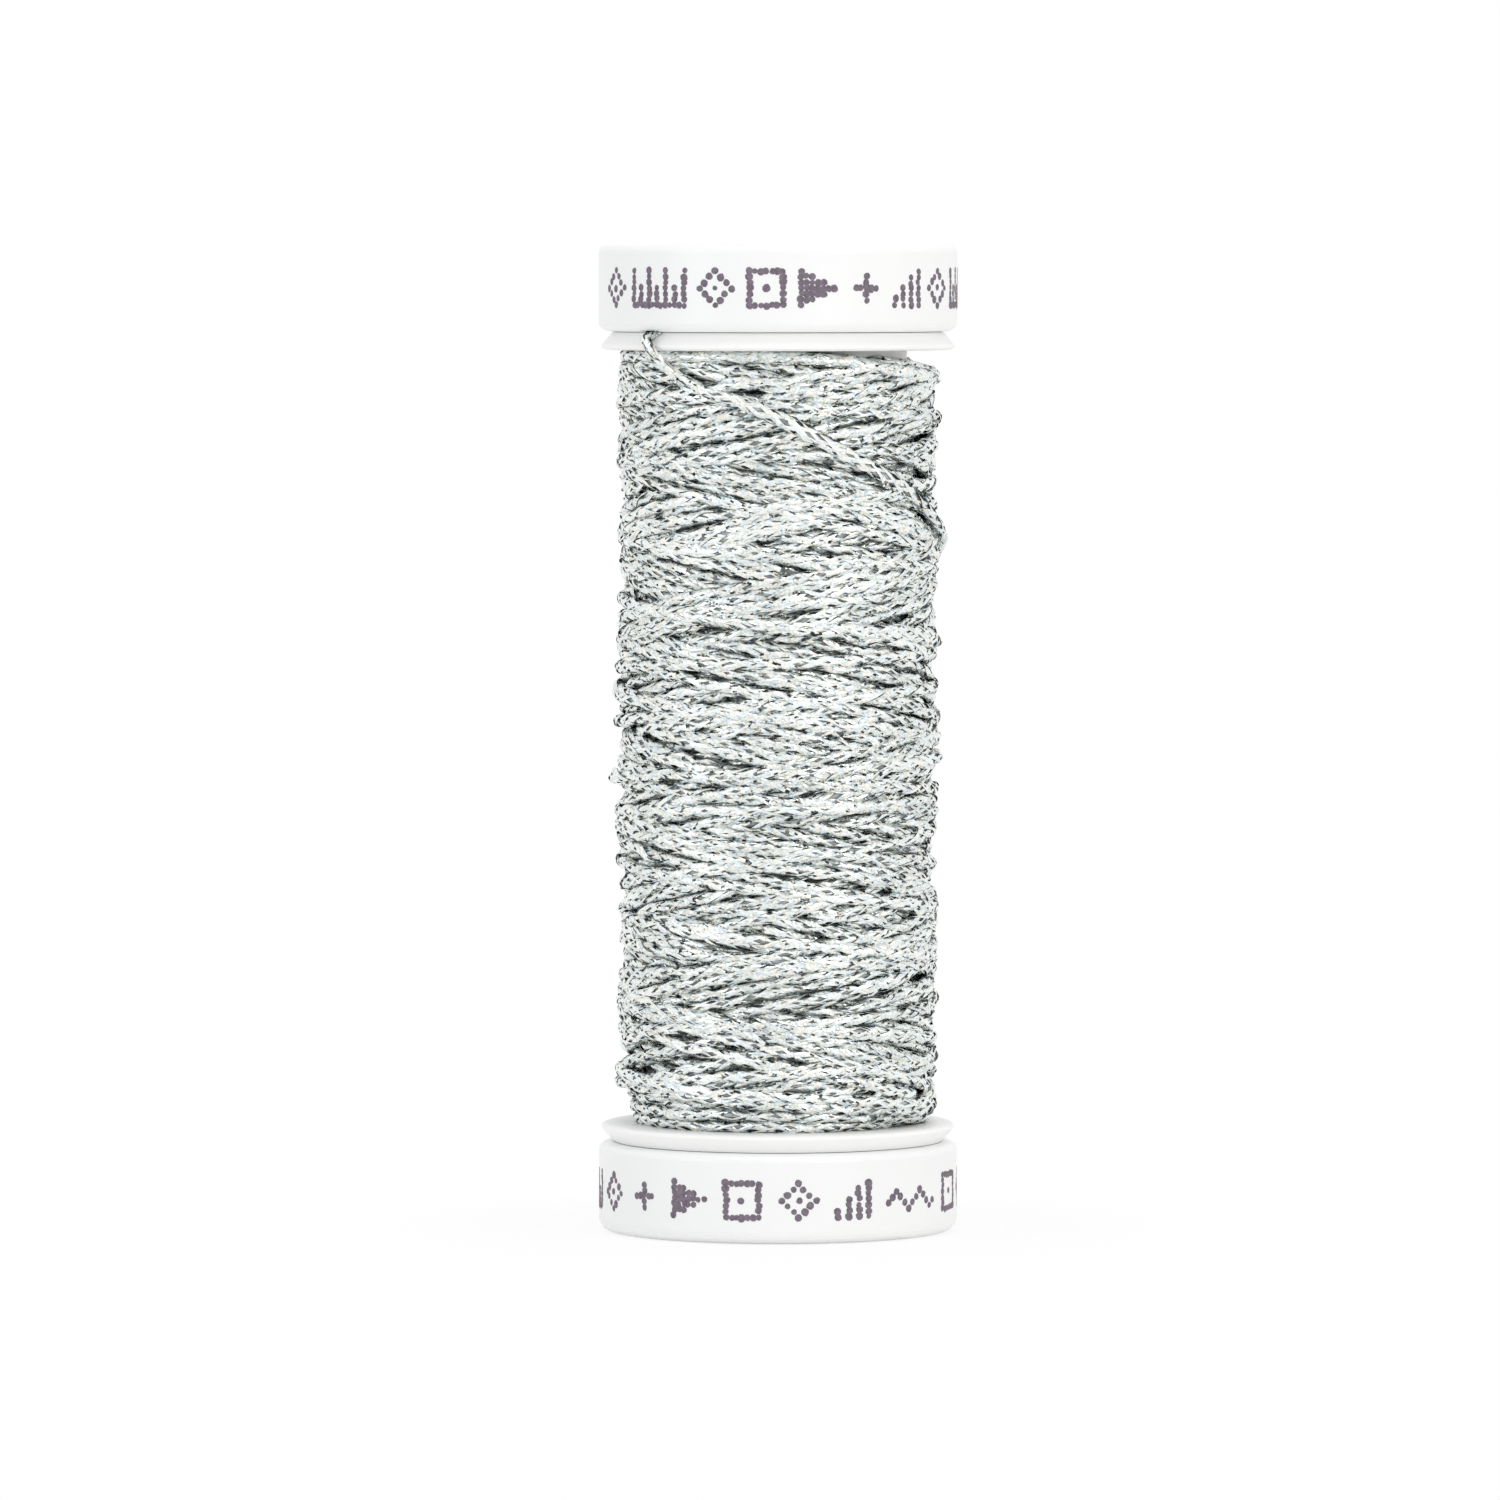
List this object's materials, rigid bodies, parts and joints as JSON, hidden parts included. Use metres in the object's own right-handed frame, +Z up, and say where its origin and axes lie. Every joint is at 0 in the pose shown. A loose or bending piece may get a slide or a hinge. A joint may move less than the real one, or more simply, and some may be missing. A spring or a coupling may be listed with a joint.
{
  "type": "thread spool",
  "caption": "Free-standing snap spool of silver metallic braid: a flanged barrel, a snap-up cap on each end, and a thread tail nipped under the top cap.",
  "frame": {"origin": "centre of the base, on the surface that the spool stands on", "axes": "+Z up along the spool's axis; the thread's tail enters its nip on the -Y side, towards -X; +X to the right of a viewer who looks along +Y"},
  "size_m": [0.02, 0.02, 0.055],
  "materials": {
    "cap_plastic": "smooth moulded white plastic with a soft sheen",
    "barrel_plastic": "smooth moulded white plastic, slightly less glossy than the caps",
    "thread": "silver metallic film braid that glitters",
    "ink": "dry grey-violet dot-matrix ink"
  },
  "bodies": {
    "base_cap": {"bottom_cap": "cap_plastic"},
    "spool": {"barrel": "barrel_plastic", "thread_core": "thread", "thread_winding": "thread", "thread_tail": "thread"},
    "tail_cap": {"top_cap": "cap_plastic"}
  },
  "joints": [
    {"name": "bottom_snap", "type": "slide", "parent": "base_cap", "child": "spool", "axis": [0, 0, 1], "range_m": [0, 0.0015]},
    {"name": "top_snap", "type": "slide", "parent": "spool", "child": "tail_cap", "axis": [0, 0, 1], "range_m": [0, 0.0015]}
  ]
}
